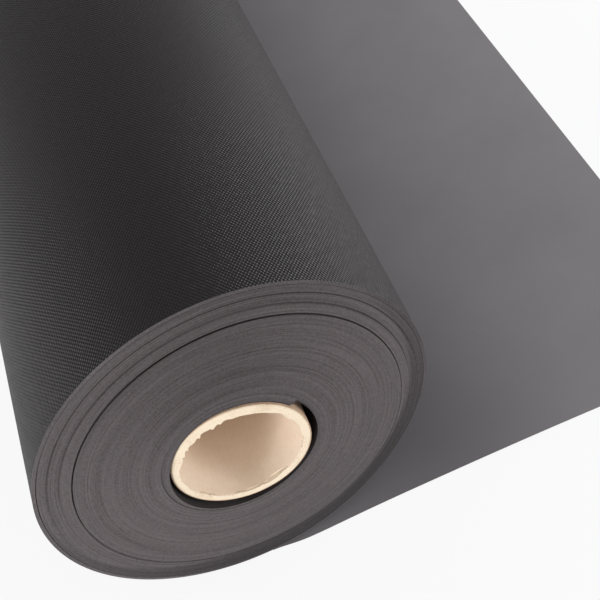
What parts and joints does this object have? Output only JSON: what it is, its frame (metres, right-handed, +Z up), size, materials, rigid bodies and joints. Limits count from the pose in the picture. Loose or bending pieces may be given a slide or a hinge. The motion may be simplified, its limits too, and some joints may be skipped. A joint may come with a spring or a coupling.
{
  "type": "roll of weed control fabric",
  "caption": "Roll of dark ribbed weed control fabric on a board core, lying on its side with its loose end laid flat on the floor beside it.",
  "frame": {"origin": "on the floor, below the middle of the whole object's box", "axes": "+Y along the roll from its front end to its rear end, +X from the roll towards the cut end of the laid sheet, +Z up"},
  "size_m": [0.4388, 1.0226, 0.2423],
  "materials": {
    "core_board": "fibrous cut board",
    "bore_paper": "matt kraft paper",
    "brown_paper": "matt kraft paper",
    "fabric_edges": "matt cut edges of many turns",
    "ribbed_fabric": "fine diagonal ribs with a soft sheen",
    "plain_fabric": "matt felted side with faint mottling"
  },
  "bodies": {
    "sheet": {"laid_sheet": "plain_fabric"},
    "nip": {"lead_off": "plain_fabric"},
    "roll": {"core_inner_ply": "bore_paper", "core_tube": "core_board", "core_outer_ply": "brown_paper", "first_turns": "fabric_edges", "inner_wraps": "fabric_edges", "outer_wraps": "fabric_edges", "outer_turns": "ribbed_fabric"}
  },
  "joints": [
    {"name": "roll_travel", "type": "slide", "parent": "sheet", "child": "nip", "axis": [1, 0, 0], "range_m": [0, 0.3], "deforming": ["laid_sheet"]},
    {"name": "roll_turn", "type": "hinge", "parent": "nip", "child": "roll", "pos_m": [-0.0985, -0.0004, 0.12175], "axis": [0, 1, 0], "range_deg": [0, 142]}
  ],
  "couplings": [
    {"joint": "roll_turn", "follows": "roll_travel", "rad_per_m": 8.25}
  ]
}
